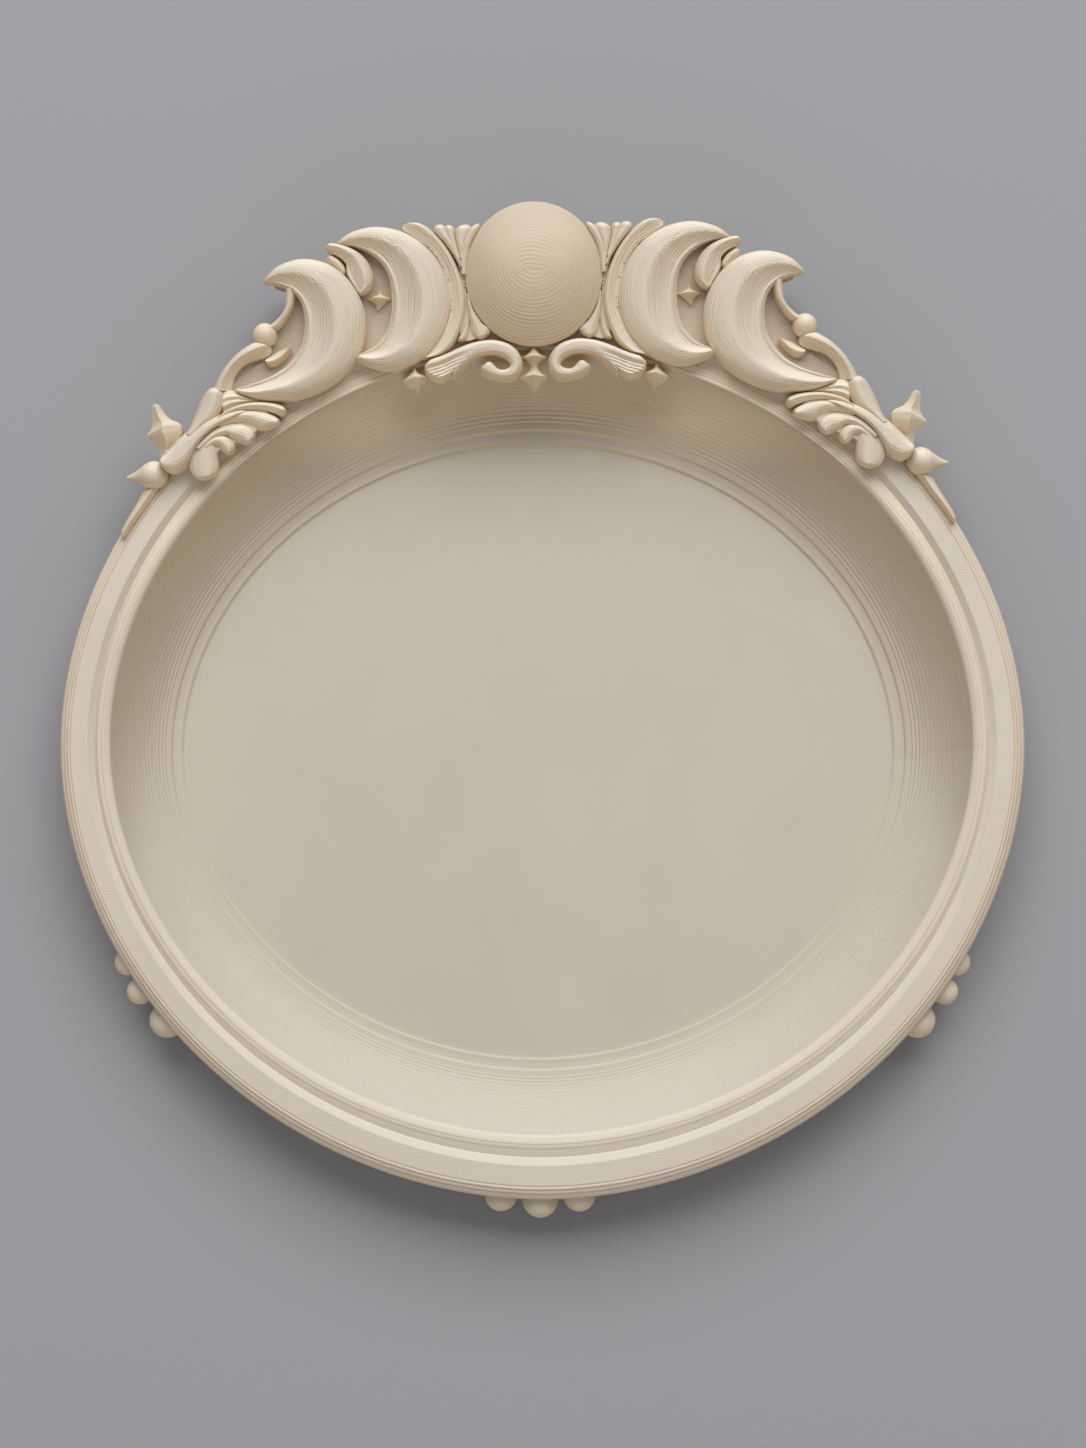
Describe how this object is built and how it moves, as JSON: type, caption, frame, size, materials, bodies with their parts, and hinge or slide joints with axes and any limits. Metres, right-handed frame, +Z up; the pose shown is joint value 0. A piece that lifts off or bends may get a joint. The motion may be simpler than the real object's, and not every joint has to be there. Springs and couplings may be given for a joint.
{
  "type": "oval display tray with moon crest",
  "caption": "Oval ivory display tray with a coved dish, a moulded rim and a carved crest of a full moon, crescents and scrolling leaves.",
  "frame": {"origin": "centre of the rim's oval, on the flat underside the tray stands on", "axes": "+X to the right seen from above, +Y towards the crest, +Z up out of the dish"},
  "size_m": [0.2, 0.2107, 0.0222],
  "materials": {
    "ivory": "matte ivory, with fine printed layer lines"
  },
  "bodies": {
    "root": {"acanthus_leaves_left": "ivory", "acanthus_leaves_right": "ivory", "acanthus_stem_left": "ivory", "acanthus_stem_right": "ivory", "bead_front_centre": "ivory", "bead_front_left": "ivory", "bead_front_right": "ivory", "bead_left_lower": "ivory", "bead_left_middle": "ivory", "bead_left_upper": "ivory", "bead_right_lower": "ivory", "bead_right_middle": "ivory", "bead_right_upper": "ivory", "bud_left": "ivory", "bud_right": "ivory", "c_scroll_left": "ivory", "c_scroll_right": "ivory", "centre_pendant": "ivory", "crest_backplate": "ivory", "full_moon": "ivory", "halo_ridge_left": "ivory", "halo_ridge_right": "ivory", "inner_crescent_left": "ivory", "inner_crescent_right": "ivory", "leaf_drop_left": "ivory", "leaf_drop_right": "ivory", "leaf_sprig_left": "ivory", "leaf_sprig_right": "ivory", "outer_crescent_left": "ivory", "outer_crescent_right": "ivory", "palmette_left": "ivory", "palmette_right": "ivory", "quill_left": "ivory", "quill_right": "ivory", "rim_moulding": "ivory", "side_pendant_left": "ivory", "side_pendant_right": "ivory", "small_star_left": "ivory", "small_star_right": "ivory", "spike_finial_left": "ivory", "spike_finial_right": "ivory", "stem_ball_left": "ivory", "stem_ball_right": "ivory", "tail_leaf_left": "ivory", "tail_leaf_right": "ivory", "teardrop_left": "ivory", "teardrop_right": "ivory", "tray_basin": "ivory", "upper_stem_left": "ivory", "upper_stem_right": "ivory", "vine_arm_left": "ivory", "vine_arm_right": "ivory", "wave_curl_left": "ivory", "wave_curl_right": "ivory"}
  },
  "joints": []
}
